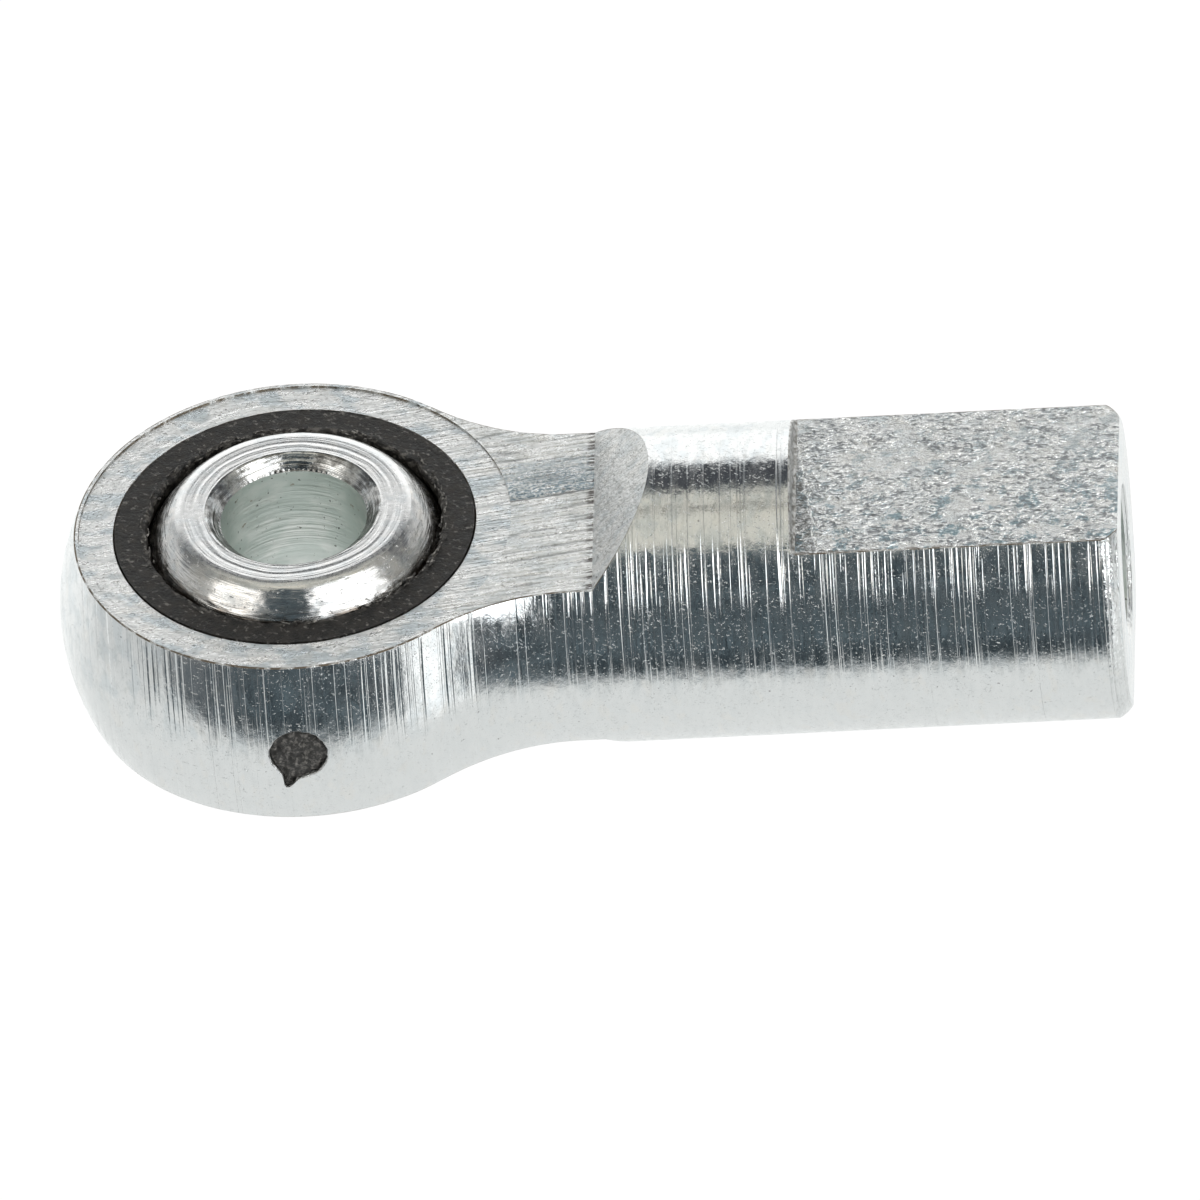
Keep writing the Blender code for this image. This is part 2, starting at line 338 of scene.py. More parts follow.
def edge_zinc():
    """Broken edges: rubbed bright in places, with grime held in between and painted shade along the
    run-out's lip.
    """
    mat = new_material("edge zinc plate", 1.0, 0.3)
    dirt_and_shade = ramp(cloud(0.6, 4, 0.7), 0.38, 0.54)
    # painted shade: the edges along the run-out's lip are darkened where a crease would be
    lip = window(axes()[0], FLAT_END + 0.15 * MM, RUNOUT_TOP + 0.05 * MM, 0.1 * MM)
    dirt_and_shade = calc("MAXIMUM", dirt_and_shade, times(lip, 0.9))
    colour = blend(dirt_and_shade, ZINC, OIL_AND_SHADE)
    nicks = cloud(0.12, 3, 0.6)
    return coat(mat, colour, nicks, 0.06 * MM, ramp(dirt_and_shade, 0, 1, 0.22, 0.5))


def torn_zinc():
    """The wall that ends a wrench flat, left dark and torn."""
    mat = new_material("torn zinc plate", 1.0, 0.42)
    tears = cloud((0.14, 0.20, 0.14), 4, 0.65)
    dark, pale = (0.27, 0.26, 0.24), (0.76, 0.76, 0.75)
    colour = blend(ramp(tears, 0.36, 0.60), dark, pale)
    return coat(mat, colour, tears, 0.12 * MM)


def bored_zinc():
    """Inside a bore: duller, with a greenish cast, tool rings, pits and a few rusty marks."""
    mat = new_material("bored zinc plate", 1.0, 0.4)
    tint = ramp(cloud((1.1, 1.1, 0.6), 3), 0.4, 0.65)
    colour = blend(tint, (0.68, 0.73, 0.70), (0.83, 0.85, 0.825))
    pits = ramp(cloud(0.17, 2, 0.6), 0.67, 0.72, 0, 0.85)
    colour = blend(pits, colour, (0.13, 0.13, 0.12))
    rust = cloud((0.6, 0.6, 0.35), 4, 0.65, shift=(5, 5, 5))
    colour = blend(ramp(rust, 0.66, 0.72, 0, 0.8), colour, (0.30, 0.23, 0.16))
    rings = cloud((3.0, 3.0, 0.13), 3, 0.6)
    groups = cloud((3, 3, 1.6), 1, shift=(0, 0, 3))
    rings = times(rings, ramp(groups, 0.40, 0.58, 0.15, 1))
    return coat(mat, colour, rings, 0.035 * MM)


def polished_zinc():
    """The ball's round: polished, scuffed all over, with brown stains low down."""
    mat = new_material("polished zinc plate", 1.0, 0.16)
    colour = zinc_tint((0.7, 0.7, 0.5), 0.3, 0.45, 0.66, (0.74, 0.73, 0.715))
    smear = cloud((1.3, 1.3, 0.11), 4, 0.65, shift=(2, 2, 0))
    low = ramp(calc("ABSOLUTE", axes()[2]), 3.5 * MM, 2.9 * MM)
    dark_patch = times(low, ramp(smear, 0.44, 0.56, 0, 0.95))
    colour = blend(dark_patch, colour, (0.15, 0.115, 0.085))
    worn = cloud((0.8, 0.8, 0.22), 4, 0.65, shift=(6, 1, 3))
    colour = blend(ramp(worn, 0.47, 0.64, 0, 0.5), colour, (0.45, 0.46, 0.46))
    hair = cloud((2.2, 2.2, 0.055), 3, 0.6)
    dent = ramp(cloud((0.14, 0.14, 0.10), 2, 0.6), 0.60, 0.72)
    slow = cloud((1.3, 1.3, 0.5), 2, shift=(0, 3, 3))
    dents = times(dent, ramp(worn, 0.45, 0.6))
    height = total((hair, 0.30), (dents, -0.25), (slow, 1.8))
    return coat(mat, colour, height, 0.045 * MM, ramp(worn, 0.35, 0.65, 0.14, 0.30))


def ring_height(spacing, shift=0.0, axis=2):
    """Tool rings about an axis, 0 for X or 2 for Z: a noise of the radius, slow along each ring."""
    sockets = axes()
    u, v = [sockets[i] for i in range(3) if i != axis]
    radius = radius_of(u, v)
    wander = cloud(3.2, 2, shift=(shift, 0, 0))
    line = total((radius, 1 / (spacing * MM)), (wander, 2.5), (sockets[axis], 1 / (spacing * MM)))
    spot = out("ShaderNodeCombineXYZ", {0: line, 1: shift})
    return noise_at(spot, 1.0, 3.0, 0.6)


def faced_ball_zinc():
    """The ball's end faces: bright turned rings on a satin ground."""
    mat = new_material("faced ball zinc plate", 1.0, 0.3)
    colour = zinc_tint(0.6, 0.25, 0.2, 0.70, (0.80, 0.80, 0.795))
    grain = cloud(0.16, 3, 0.6)
    height = total((ring_height(0.26), 1.0), (grain, 0.10))
    return coat(mat, colour, height, 0.042 * MM, ramp(grain, 0.3, 0.7, 0.24, 0.34))


def faced_end_zinc():
    """The shank's end: faced across, with fine rings round the hole and a scatter of small dents."""
    mat = new_material("faced end zinc plate", 1.0, 0.26)
    colour = zinc_tint(0.8, 0.35, 0.2, 0.67)
    grain = cloud(0.12, 3, 0.6)
    dents = ramp(cloud(0.16, 2, shift=(3, 5, 0)), 0.64, 0.74)
    height = total((ring_height(0.17, 6.0, 0), 1.0), (grain, 0.35), (dents, -0.6))
    return coat(mat, colour, height, 0.045 * MM, ramp(grain, 0.3, 0.7, 0.20, 0.34))


def countersunk_zinc():
    """The bore's chamfers: chatter leaves beads of light round them."""
    mat = new_material("countersunk zinc plate", 1.0, 0.17)
    colour = zinc_tint(0.5, 0.3, 0.3, 0.68, (0.70, 0.70, 0.69))
    x, y, z = axes()
    around = calc("ARCTAN2", y, x)
    beads = calc("SINE", times(around, 84.0))
    mouth = BALL_HALF - BORE_CHAMFER
    depth = ramp(calc("ABSOLUTE", z), mouth + 0.09 * MM, mouth + 0.03 * MM)
    groups = cloud(1.4, 2)
    beads = times(beads, depth, ramp(groups, 0.36, 0.52))
    blotch = cloud((0.55, 0.55, 0.30), 3, 0.6, shift=(3, 1, 2))
    colour = blend(ramp(blotch, 0.40, 0.64, 0, 0.85), colour, (0.14, 0.135, 0.125))
    height = total((ring_height(0.26, 4.0), 1.3), (beads, 0.12), (blotch, 0.5))
    return coat(mat, colour, height, 0.045 * MM)


def moulded_plastic():
    """Black moulding, matt and mottled, a little warm, with pale scuffs."""
    mat = new_material("black moulded plastic", 0.0, 0.5, 0.38)
    mottle = cloud(0.45, 4, 0.65)
    dark, pale = (0.006, 0.0055, 0.005), (0.034, 0.030, 0.027)
    colour = blend(ramp(mottle, 0.40, 0.66), dark, pale)
    x, y, _ = axes()
    radius = radius_of(x, y)
    torn = cloud((0.30, 0.30, 0.15), 4, 0.7, shift=(1, 6, 2))
    lip = ramp(radius, RECESS_R + 0.22 * MM, RECESS_R + 0.02 * MM)
    lip = times(lip, ramp(torn, 0.48, 0.62, 0, 0.8))
    colour = blend(lip, colour, (0.16, 0.15, 0.135))
    scuff = ramp(cloud((0.24, 0.17, 0.17), 4, 0.7, turn=0.5), 0.57, 0.68, 0, 0.9)
    colour = blend(scuff, colour, (0.20, 0.19, 0.175))
    grain = cloud(0.12, 4, 0.65, shift=(3, 3, 3))
    return coat(mat, colour, grain, 0.07 * MM, ramp(mottle, 0.3, 0.7, 0.34, 0.62))


def torn_plastic(name, dark, pale):
    """Where the moulding was torn: rough, brown-grey, with paler broken bits."""
    mat = new_material(name, 0.0, 0.55)
    bits = cloud(0.17, 4, 0.7)
    colour = blend(ramp(bits, 0.46, 0.68), dark, pale)
    return coat(mat, colour, bits, 0.10 * MM)


TURNED, MILLED, FACED, RUNOUT, WRENCH, BORED, EDGED, TORN, CHAMFERED, END_FACE = range(10)


def body_materials():
    return [
        turned_zinc("turned zinc plate", 0.019 * MM),
        # the neck flats, with a painted reflection darkening their upper cutter pass
        milled_zinc("milled zinc plate", 0.12 * MM, 0.15, 0.6, pass_reflection_amount=0.95),
        milled_zinc("faced zinc plate", 0.036 * MM, 0.12, 0.15, 0.7),
        grained_zinc(),
        chattered_zinc(),
        bored_zinc(),
        edge_zinc(),
        torn_zinc(),
        turned_zinc("chamfered zinc plate", 0.035 * MM, (0.1, 0.2), 3.5),
        faced_end_zinc(),
    ]


# ---- mesh helpers
def place(name, data):
    """A new object with this data, in the scene."""
    obj = bpy.data.objects.new(name, data)
    bpy.context.scene.collection.objects.link(obj)
    return obj


def make_object(name, verts, faces, kinds=None, materials=(), sharp=radians(35)):
    """A closed mesh from points and faces, doubles merged, smooth except at sharp edges."""
    mesh = bpy.data.meshes.new(name)
    mesh.from_pydata([tuple(v) for v in verts], [], faces)
    for mat in materials:
        mesh.materials.append(mat)
    if kinds is not None:
        mesh.polygons.foreach_set("material_index", kinds)
    bm = bmesh.new()
    bm.from_mesh(mesh)
    bmesh.ops.remove_doubles(bm, verts=bm.verts, dist=2e-7)
    bmesh.ops.dissolve_degenerate(bm, edges=bm.edges, dist=1e-8)
    bmesh.ops.recalc_face_normals(bm, faces=bm.faces)
    bm.to_mesh(mesh)
    bm.free()
    mesh.shade_smooth()
    mesh.set_sharp_from_angle(angle=sharp)
    return place(name, mesh)


def grid_faces(rows, sides, closed=False):
    """Quads between rings of points; closed also joins the last ring to the first."""
    faces = []
    for i in range(rows if closed else rows - 1):
        j = (i + 1) % rows
        for k in range(sides):
            m = (k + 1) % sides
            faces.append((i * sides + k, i * sides + m, j * sides + m, j * sides + k))
    return faces


def revolve(name, profile, axis, sides, kinds, materials, closed=False, shape=None):
    """Turn (along, radius) points about X or Z; kinds names each span's material.

    shape, if given, moves a point once it is placed.
    """
    verts = []
    for along, radius in profile:
        for k in range(sides):
            a = 2 * pi * k / sides
            u, v = radius * cos(a), radius * sin(a)
            point = (along, u, v) if axis == "X" else (u, v, along)
            verts.append(shape(*point) if shape else point)
    faces = grid_faces(len(profile), sides, closed)
    marks = [kinds[i // sides] for i in range(len(faces))]
    return make_object(name, verts, faces, marks, materials)


def baked(obj, name):
    """The object's evaluated shape as a plain mesh object; the source is removed."""
    graph = bpy.context.evaluated_depsgraph_get()
    mesh = bpy.data.meshes.new_from_object(obj.evaluated_get(graph), depsgraph=graph)
    mesh.name = name
    old = obj.data
    bpy.data.objects.remove(obj, do_unlink=True)
    if old.users == 0:
        bpy.data.meshes.remove(old)
    mesh.shade_smooth()
    mesh.set_sharp_from_angle(angle=radians(30))
    return place(name, mesh)


def rough(x, y, z, size):
    """A smooth random value, about -1 to 1, that changes over size."""
    return noise.noise(Vector((x / size, y / size, z / size)))


def ring_noise(angle, waves, seed):
    """A smooth random value round a circle; more waves make it change faster."""
    return noise.noise(Vector((waves * cos(angle), waves * sin(angle), seed)))


# ---- body
SIDE_STEPS = 14
CORNER_STEPS = 4
SHOULDER_STEPS = 3
TOP_STEPS = 58  # half of a wrench flat, across
WRENCH_STEPS = 136  # a wrench flat, along
MILL_STEPS = 108  # a head flat, across
TORN_WIDTH = 0.50 * MM  # the dirty strip along a wrench flat's wall


def corner(radius, height):
    """Where a flat meets a round: centre (y, z) of the broken edge, its first angle and its radius."""
    edge = min(EDGE, radius - height) if radius > height else 0
    y = sqrt(max((radius - edge) ** 2 - (height - edge) ** 2, 0))
    return y, height - edge, atan2(height - edge, y), edge


def corner_points(radius, height):
    y, z, first, edge = corner(radius, height)
    angles = [first + (pi / 2 - first) * i / CORNER_STEPS for i in range(CORNER_STEPS + 1)]
    return [(y + edge * cos(a), z + edge * sin(a)) for a in angles]


def side_points(radius, last):
    angles = [last * i / SIDE_STEPS for i in range(SIDE_STEPS + 1)]
    return [(radius * cos(a), radius * sin(a)) for a in angles]


FLAT_CORNER = corner(SHANK_R, HEAD_FLAT)[2]


def head_section(radius, height):
    """A quarter of a section with a head flat: side, then the corner at the flat."""
    side = side_points(radius, corner(radius, height)[2])
    middle = [side[-1]] * (SHOULDER_STEPS + CORNER_STEPS + TOP_STEPS)
    return side + middle + corner_points(radius, height)[1:]


def shank_section(radius, height, top, wrench=None, lower=0.0):
    """A quarter of a section past the head flat.

    height is that of the run-out, equal to radius beyond it. wrench is the height of the wrench
    flat, or None where the top is still round, and top is the height that spaces its points.
    lower sinks a round top.
    """
    side = side_points(radius, FLAT_CORNER)
    half, _, first, _ = corner(radius, top)
    reach = first - FLAT_CORNER
    shoulder = [FLAT_CORNER + reach * (i + 1) / SHOULDER_STEPS for i in range(SHOULDER_STEPS)]
    if wrench is None:
        edge_turn = acos(half / radius) - first
        edge_angles = [first + edge_turn * (i + 1) / CORNER_STEPS for i in range(CORNER_STEPS)]
        top_angles = [acos(half * (1 - (i + 1) / TOP_STEPS) / radius) for i in range(TOP_STEPS)]
        last = corner(radius, height)[2]
        share = (last - FLAT_CORNER) / (pi / 2 - FLAT_CORNER)
        angles = [FLAT_CORNER + (a - FLAT_CORNER) * share for a in shoulder + edge_angles + top_angles]
        middle = []
        for i, a in enumerate(angles):
            drop = lower * min(1, max(0, i + 1 - SHOULDER_STEPS) / CORNER_STEPS)
            middle.append((radius * cos(a), radius * sin(a) - drop))
    else:
        middle = [(radius * cos(a), radius * sin(a)) for a in shoulder]
        middle += corner_points(radius, wrench)[1:]
        middle += [(half * (1 - (i + 1) / TOP_STEPS), wrench) for i in range(TOP_STEPS)]
    if height < radius:
        end = corner_points(radius, height)[1:]
    else:
        end = [middle[-1]] * CORNER_STEPS
    return side + middle + end


def mill_lines(x, y, side):
    """The cutter's path over the head flats: grooves a little across X, one of them deep."""
    u = x * cos(MILL_TURN) + y * sin(MILL_TURN)
    v = y * cos(MILL_TURN) - x * sin(MILL_TURN) + 0.02 * MM * rough(x, y, side * MM, 0.35 * MM)
    rows = rough(u / 9, v, side * MM, 0.125 * MM) + 0.5 * rough(u / 5, v, side * 3 * MM, 0.07 * MM)
    deep = exp(-(((v + 0.40 * MM) / (0.05 * MM)) ** 2))
    return 0.017 * MM * rows - 0.03 * MM * deep


def neck_relief(x, y, side):
    foot = max(0, 1 - (FLAT_END - x) / (0.3 * MM))
    return 0, mill_lines(x, y, side) + foot * 0.016 * MM * rough(x, y, side * MM, 0.11 * MM)


def runout_relief(x, y, side):
    grain = rough(x, y, side * MM, 0.16 * MM) + rough(x, y, side * 4 * MM, 0.5 * MM)
    return 0, 0.007 * MM * grain


def wrench_relief(x, y, side):
    """Chatter in short wavy ridges, with a calmer patch, a cutter's line and a torn strip by the wall."""
    sway = 0.10 * MM * rough(x, y, side * 5 * MM, 0.6 * MM)
    rows = rough(x / 1.8, y + sway, side * 3 * MM, 0.10 * MM)
    swell = rough(x, y, side * 9 * MM, 0.8 * MM)
    calm = min(1, max(0.3, 0.75 + 1.6 * rough(x, y, side * 7 * MM, 1.5 * MM)))
    lift = calm * 0.019 * MM * rows + 0.010 * MM * swell
    away = x - WRENCH_START
    line = away - TORN_WIDTH + 0.12 * y
    lift += 0.020 * MM * exp(-((line / (0.035 * MM)) ** 2))
    strip = min(1, max(0, 1.3 - away / TORN_WIDTH))
    return 0, lift + strip * 0.024 * MM * (rough(x, y, side * 2 * MM, 0.10 * MM) - 0.4)


def wall_relief(x, y, side):
    tear = rough(0, y, side * 6 * MM, 0.22 * MM) + 0.6 * rough(x, y, side * 8 * MM, 0.09 * MM)
    return 0.04 * MM * tear, 0.02 * MM * rough(x, y, side * 5 * MM, 0.12 * MM)


def whole_ring(quarter, mill, relief):
    """Both sides and both flats of a section, as one closed ring of points.

    quarter and mill hold (x, y, z, weight); relief gives how far weight 1 moves a point outward.
    """
    left = [(x, -y, z, w) for x, y, z, w in reversed(quarter)]
    lower_left = [(x, y, -z, w) for x, y, z, w in reversed(left[:-1])]
    lower_across = [(x, y, -z, w) for x, y, z, w in reversed(mill)]
    lower_right = [(x, y, -z, w) for x, y, z, w in reversed(quarter[1:])]
    ring = []
    for x, y, z, w in quarter + mill + left + lower_left + lower_across + lower_right:
        if w:
            side = 1 if z > 0 else -1
            dx, dz = relief(x, y, side)
            x, z = x + w * dx, z + side * w * dz
        ring.append((x, y, z))
    return ring


def body_rings():
    """All the rings of the body from the back of the head to the shank's end, with their zones."""
    rings = []
    top_first = SIDE_STEPS + 1 + SHOULDER_STEPS + CORNER_STEPS

    def ring(zone, xs, quarter, height, relief=None, weight=0.0):
        """Add a section; the relief fades in from its edges, over whichever part of it is flat."""
        if not isinstance(xs, list):
            xs = [xs] * len(quarter)
        points = []
        for k, (x, (y, z)) in enumerate(zip(xs, quarter)):
            on_top = zone in ("wrench", "wall") and k >= top_first
            points.append((x, y, z, weight * min(1, (k - top_first) / 4) if on_top else 0))
        half = quarter[-1][0]
        mill = []
        for i in range(1, MILL_STEPS):
            s = 1 - 2 * i / MILL_STEPS
            if zone in ("neck", "runout") and half:
                mill.append((xs[-1], s * half, height, weight * min(1, (1 - abs(s)) * 12)))
            else:
                mill.append((xs[-1], half if s >= 0 else -half, height, points[-1][3]))
        rings.append((zone, whole_ring(points, mill, relief)))

    section = head_section(HEAD_R, HEAD_FLAT)
    columns = 96
    for i in range(columns + 1):
        xs, points = [], []
        for radius, z in section:
            angle = pi - i / columns * (pi - acos(JOIN_X / radius))
            xs.append(radius * cos(angle))
            points.append((radius * sin(angle), z))
        ring("head", xs, points, HEAD_FLAT)

    join_angle = acos(JOIN_X / HEAD_R)
    steps = 30
    for i in range(1, steps + 1):
        a = (pi / 2 - join_angle) * (1 - i / steps)
        x = FILLET_X - NECK_FILLET * sin(a)
        radius = SHANK_R + NECK_FILLET * (1 - cos(a))
        weight = min(1, max(0, (i - 3) / 6))
        ring("neck", x, head_section(radius, HEAD_FLAT), HEAD_FLAT, neck_relief, weight)
    steps = 10
    for i in range(1, steps + 1):
        x = FILLET_X + (FLAT_END - FILLET_X) * i / steps
        weight = 1 if i < steps else 0
        ring("neck", x, head_section(SHANK_R, HEAD_FLAT), HEAD_FLAT, neck_relief, weight)

    spacing = WRENCH_FLAT + WALL_FILLET
    steps = 26
    for i in range(1, steps + 1):
        height = HEAD_FLAT + (SHANK_R - HEAD_FLAT) * sin(pi / 2 * i / steps)
        weight = min(1, i / 2) if i < steps else 0
        quarter = shank_section(SHANK_R, height, spacing)
        ring("runout", FLAT_END + height - HEAD_FLAT, quarter, height, runout_relief, weight)
    round_section = shank_section(SHANK_R, SHANK_R, spacing)
    lip = 0.04 * MM
    for i in range(1, 9):
        x = RUNOUT_TOP + (WRENCH_START - lip - RUNOUT_TOP) * i / 8
        ring("shank", x, round_section, SHANK_R)
    lowered = shank_section(SHANK_R, SHANK_R, spacing, lower=lip)
    ring("wall", WRENCH_START, lowered, SHANK_R - lip, wall_relief, 0.6)
    lean = 0.004 * MM  # keeps the wall's rings apart where they share the round
    sunk = shank_section(SHANK_R, SHANK_R, spacing, spacing)
    for step, share in enumerate((0.35, 0.7), 1):
        quarter = list(sunk)
        for k in range(top_first - CORNER_STEPS, len(quarter)):
            y, z = lowered[k]
            quarter[k] = (y + (sunk[k][0] - y) * share, z + (sunk[k][1] - z) * share)
        ring("wall", WRENCH_START + step * lean, quarter, quarter[-1][1], wall_relief, 1.0)
    for i in range(5):
        a = pi / 2 * i / 4
        height = WRENCH_FLAT + WALL_FILLET * (1 - sin(a))
        x = WRENCH_START + 3 * lean + WALL_FILLET * (1 - cos(a))
        quarter = shank_section(SHANK_R, SHANK_R, height, height)
        ring("wall", x, quarter, height, wall_relief, 0.8)

    start, stop = WRENCH_START + WALL_FILLET, SHANK_END - END_CHAMFER - 0.16 * MM
    flat_section = shank_section(SHANK_R, SHANK_R, WRENCH_FLAT, WRENCH_FLAT)
    for i in range(1, WRENCH_STEPS + 1):
        x = start + (stop - start) * i / WRENCH_STEPS
        weight = min(1, i / 2, (WRENCH_STEPS - i) / 4)
        ring("wrench", x, flat_section, WRENCH_FLAT, wrench_relief, weight)

    # the end's chamfer, a little rounded, and the flats' own ends
    steps, drop, power = 14, 0.42 * MM, 1.25
    span = END_CHAMFER + 0.08 * MM
    for i in range(steps + 1):
        share = i / steps
        radius = SHANK_R - drop * (1 - (1 - share**power) ** (1 / power))
        flat = WRENCH_FLAT - 0.05 * MM * max(0, share - 0.7) / 0.3
        x = SHANK_END - span * (1 - share)
        ring("end", x, shank_section(radius, radius, flat, flat), flat)
    return rings


ZONE_MILL = {"head": FACED, "neck": MILLED, "runout": RUNOUT}
ZONE_TOP = {"wall": TORN, "wrench": WRENCH, "end": WRENCH}
ZONE_EDGE = {"wall": TORN, "wrench": EDGED, "end": EDGED}


def make_body_mesh(materials):
    rings = body_rings()
    size = len(rings[0][1])
    verts = [p for _, points in rings for p in points]
    quarter = SIDE_STEPS + 1 + SHOULDER_STEPS + CORNER_STEPS + TOP_STEPS + CORNER_STEPS
    upper = 2 * quarter + MILL_STEPS - 2  # the last place of the upper half
    edge_first = SIDE_STEPS + SHOULDER_STEPS
    columns = []
    for k in range(size):
        # the lower half mirrors the upper, and the left the right
        step = k if k < upper else size - 1 - k
        step = min(step, upper - 1 - step)
        if step >= quarter - 1:
            columns.append("mill")
        elif step >= quarter - 1 - CORNER_STEPS:
            columns.append("flat edge")
        elif step >= edge_first + CORNER_STEPS:
            columns.append("top")
        else:
            columns.append("edge" if step >= edge_first else "side")
    faces, marks = [], []
    for i in range(len(rings) - 1):
        zone = rings[i + 1][0]
        side = CHAMFERED if zone == "end" else TURNED
        flat_edge = EDGED if zone in ZONE_MILL else side
        mark = {"mill": ZONE_MILL.get(zone, side), "top": ZONE_TOP.get(zone, side), "side": side}
        mark["edge"] = ZONE_EDGE.get(zone, side)
        mark["flat edge"] = flat_edge
        for k in range(size):
            m = (k + 1) % size
            faces.append((i * size + k, (i + 1) * size + k, (i + 1) * size + m, i * size + m))
            marks.append(mark[columns[k]])
    faces.append(tuple(range((len(rings) - 1) * size, len(rings) * size)))
    marks.append(END_FACE)
    return make_object("rod_end_body", verts, faces, marks, materials)


def gate_radius(angle):
    """The gate's outline: a torn round, with a tail that runs down from its lower left."""
    radius = GATE_R + 0.05 * MM * ring_noise(angle, 2.1, 4.0)
    radius += 0.025 * MM * ring_noise(angle, 7, 1.0)
    away = angle - radians(252)
    return radius + 0.52 * MM * exp(-((away / 0.17) ** 2)) + 0.10 * MM * exp(-((away / 0.45) ** 2))


def gate_point(angle, share, y, grow=0.0):
    radius = share * (gate_radius(angle) + grow)
    return radius * cos(angle), y, radius * sin(angle)


def make_gate_tool(materials):
    """Cuts the gate's outline into the side of the head, down to the race, with a rubbed rim."""
    sides = 96
    rim, flare = 7.84 * MM, 0.36 * MM
    rows = [(-POCKET_R, 0, 0), (-POCKET_R, 1, 0), (-rim, 1, 0)]  # y, share of the outline, flare
    rows += [(-rim - flare, 1, flare), (-rim - flare, 0, 0)]
    verts = []
    for y, share, grow in rows:
        verts += [gate_point(2 * pi * k / sides, share, y, grow) for k in range(sides)]
    marks = [TORN, TORN, RUNOUT, TORN]
    kinds = [marks[i // sides] for i in range((len(rows) - 1) * sides)]
    return make_object("gate_tool", verts, grid_faces(len(rows), sides), kinds, materials)


def faced_point(x, y, z):
    """Sinks the facing cut's floor by its tool marks."""
    side = 1 if z > 0 else -1
    on_floor = abs(abs(z) - HEAD_FLAT + FACED_DEPTH) < 1e-7
    if on_floor and POCKET_R + 0.06 * MM < hypot(x, y) < FACED_R - 0.02 * MM:
        z += side * (0.2 * mill_lines(x, y, side * 3) + 0.005 * MM * rough(x, y, z, 0.15 * MM))
    return x, y, z


def make_pocket_tool(materials):
    """Cuts the race's pocket with its inner groove, and faces the head round it."""
    out = 2 * HEAD_R
    face, lip = HEAD_FLAT - FACED_DEPTH, 0.04 * MM
    half = [(GROOVE_HALF, GROOVE_R), (GROOVE_HALF, POCKET_R), (face - lip, POCKET_R)]
    marks = [BORED, BORED, EDGED]
    rows = 16
    for i in range(rows + 1):
        half.append((face, POCKET_R + lip + (FACED_R - POCKET_R - lip) * i / rows))
        marks.append(FACED if i < rows else EDGED)
    half += [(out, FACED_R), (out, 0)]
    marks.append(BORED)
    pocket = [(-z, r) for z, r in reversed(half)] + half
    kinds = list(reversed(marks)) + [BORED] + marks
    return revolve("pocket_tool", pocket, "Z", 360, kinds, materials, shape=faced_point)


def make_drill_tool(materials):
    """Cuts the threaded hole: a drill point, the bore and a countersunk mouth."""
    sink, spare, point = 0.16 * MM, 1.8 * MM, 1.4 * MM
    bottom = SHANK_END - THREAD_DEPTH - spare
    hole = [(bottom - point, 0), (bottom, THREAD_R), (SHANK_END - sink, THREAD_R)]
    hole += [(SHANK_END + MM, THREAD_R + sink + MM), (SHANK_END + MM, 0)]
    kinds = [BORED, BORED, CHAMFERED, BORED]
    return revolve("drill_tool", hole, "X", 96, kinds, materials)


def make_body():
    materials = body_materials()
    body = make_body_mesh(materials)
    tools = [make(materials) for make in (make_pocket_tool, make_drill_tool, make_gate_tool)]
    group = bpy.data.collections.new("cutters")
    for tool in tools:
        bpy.context.scene.collection.objects.unlink(tool)
        group.objects.link(tool)
    bpy.context.scene.collection.children.link(group)
    cut = body.modifiers.new("cutters", "BOOLEAN")
    cut.operand_type = "COLLECTION"
    cut.collection = group
    cut.solver = "EXACT"
    cut.material_mode = "INDEX"
    body = baked(body, "rod_end_body")
    for tool in tools:
        bpy.data.objects.remove(tool, do_unlink=True)
    bpy.data.collections.remove(group)
    return body, materials


# ---- race
def make_race(material):
    """The moulding: flat ring with a ragged inner lip, a dark recess and the seat on the ball."""
    sides = 360
    outer = POCKET_R - 0.02 * MM
    tilt = asin(SEAT_Z / SEAT_R)
    half = []  # (z, radius, how ragged)
    for i in range(9):
        a = tilt * i / 8
        half.append((SEAT_R * sin(a), SEAT_R * cos(a), 0.0))
    for i in range(1, 5):
        half.append((SEAT_Z + 0.10 * MM * i, RECESS_R, 0.35 * i))
    half += [(3.14 * MM, RECESS_R + 0.01 * MM, 1.0), (3.185 * MM, RECESS_R + 0.04 * MM, 1.0)]
    rows = 14
    for i in range(1, rows + 1):
        r = RECESS_R + 0.04 * MM + (outer - RECESS_R - 0.08 * MM) * i / rows
        half.append((HEAD_FLAT, r, max(0, 1 - i / 3)))
    groove = GROOVE_HALF - 0.03 * MM
    half += [(3.19 * MM, outer, 0.0), (groove, outer, 0.0), (groove, GROOVE_R - 0.03 * MM, 0.0)]
    profile = [(-z, r, w) for z, r, w in reversed(half[1:])] + half
    verts = []
    for z, r, wild in profile:
        side = 1 if z > 0 else -1
        for k in range(sides):
            a = 2 * pi * k / sides
            ragged = ring_noise(a, 9, side * 3.0) + 0.6 * ring_noise(a, 26, side * 5.0)
            radius = r - wild * 0.09 * MM * (0.35 + ragged)
            x, y = radius * cos(a), radius * sin(a)
            lift = 0.0
            if abs(z) > 3.19 * MM and r < outer - 0.01 * MM:
                lift = 0.022 * MM * rough(x, y, side * 2 * MM, 0.42 * MM) - 0.016 * MM
                lift += 0.008 * MM * rough(x, y, side * 3 * MM, 0.16 * MM)
                lift += wild * 0.05 * MM * (0.5 + rough(x, y, side * 5 * MM, 0.3 * MM))
            verts.append((x, y, z + side * lift))
    return make_object("moulded_race", verts, grid_faces(len(profile), sides, True), None, [material])


